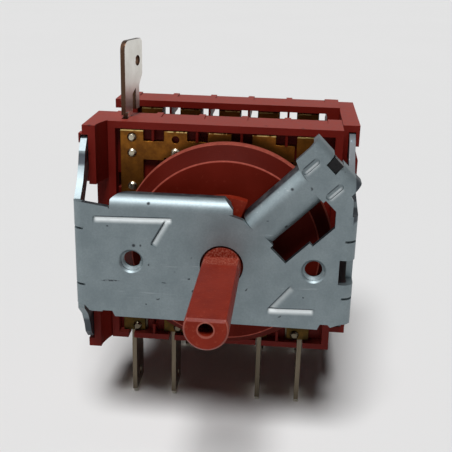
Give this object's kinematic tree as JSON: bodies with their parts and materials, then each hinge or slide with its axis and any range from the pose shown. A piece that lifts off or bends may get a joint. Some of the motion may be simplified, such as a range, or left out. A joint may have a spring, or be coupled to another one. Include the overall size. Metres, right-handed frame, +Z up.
{
  "type": "oven selector switch",
  "caption": "Rotary selector switch for an oven: D shaft, folded zinc bracket with detent channel, cam discs and moulded wafers with brass contacts and flat tabs.",
  "frame": {"origin": "midway between the two tapped fixing holes, on the shaft's axis, at the bracket's front face", "axes": "-Y points out along the shaft towards the knob, +Z points up to the tall tab and +X points right, seen from the knob"},
  "size_m": [0.0445, 0.0608, 0.0637],
  "materials": {
    "zinc_steel": "satin zinc plate",
    "orange_red_moulding": "satin",
    "red_moulding": "satin",
    "maroon_moulding": "matte",
    "black_moulding": "satin",
    "spring_steel": "bright drawn wire",
    "rivet_metal": "bright",
    "tinned_tab": "tin plated",
    "spring_bronze": "satin",
    "brass_plate": "dull rolled brass"
  },
  "bodies": {
    "root": {"detent_spring": "spring_steel", "front_bottom_plate_1": "brass_plate", "front_bottom_plate_2": "brass_plate", "front_bottom_plate_4": "brass_plate", "front_bottom_plate_5": "brass_plate", "front_bracket": "zinc_steel", "front_common_ring": "brass_plate", "front_leaf_bottom_1": "spring_bronze", "front_leaf_bottom_2": "spring_bronze", "front_leaf_bottom_4": "spring_bronze", "front_leaf_bottom_5": "spring_bronze", "front_leaf_top_1": "spring_bronze", "front_leaf_top_2": "spring_bronze", "front_leaf_top_3": "spring_bronze", "front_leaf_top_4": "spring_bronze", "front_leaf_top_5": "spring_bronze", "front_linked_plate": "brass_plate", "front_lower_tab_1": "tinned_tab", "front_lower_tab_2": "tinned_tab", "front_lower_tab_4": "tinned_tab", "front_lower_tab_5": "tinned_tab", "front_rivets": "rivet_metal", "front_top_plate_3": "brass_plate", "front_top_plate_4": "brass_plate", "front_top_plate_5": "brass_plate", "front_wafer": "maroon_moulding", "rear_bottom_plate_2": "brass_plate", "rear_bottom_plate_4": "brass_plate", "rear_bottom_plate_5": "brass_plate", "rear_common_ring": "brass_plate", "rear_leaf_bottom_2": "spring_bronze", "rear_leaf_bottom_4": "spring_bronze", "rear_leaf_bottom_5": "spring_bronze", "rear_leaf_top_1": "spring_bronze", "rear_leaf_top_2": "spring_bronze", "rear_leaf_top_3": "spring_bronze", "rear_leaf_top_4": "spring_bronze", "rear_leaf_top_5": "spring_bronze", "rear_lower_tab_2": "tinned_tab", "rear_lower_tab_4": "tinned_tab", "rear_lower_tab_5": "tinned_tab", "rear_rivets": "rivet_metal", "rear_top_plate_1": "brass_plate", "rear_top_plate_2": "brass_plate", "rear_top_plate_3": "brass_plate", "rear_top_plate_4": "brass_plate", "rear_top_plate_5": "brass_plate", "rear_wafer": "maroon_moulding", "top_tab": "tinned_tab"},
    "rotor": {"selector_shaft": "orange_red_moulding", "front_cam_disc": "red_moulding", "rear_cam_disc": "red_moulding"},
    "detent": {"detent_plunger": "black_moulding"}
  },
  "joints": [
    {"name": "selector_turn", "type": "hinge", "parent": "root", "child": "rotor", "pos_m": [0, 0, 0], "axis": [0, -1, 0], "range_deg": [0, 270]},
    {"name": "detent_slide", "type": "slide", "parent": "root", "child": "detent", "axis": [0.7071, 0, 0.7071], "range_m": [-0.0009, 0.0005], "stiffness_N_per_m": 400, "deforming": ["detent_spring"]}
  ]
}
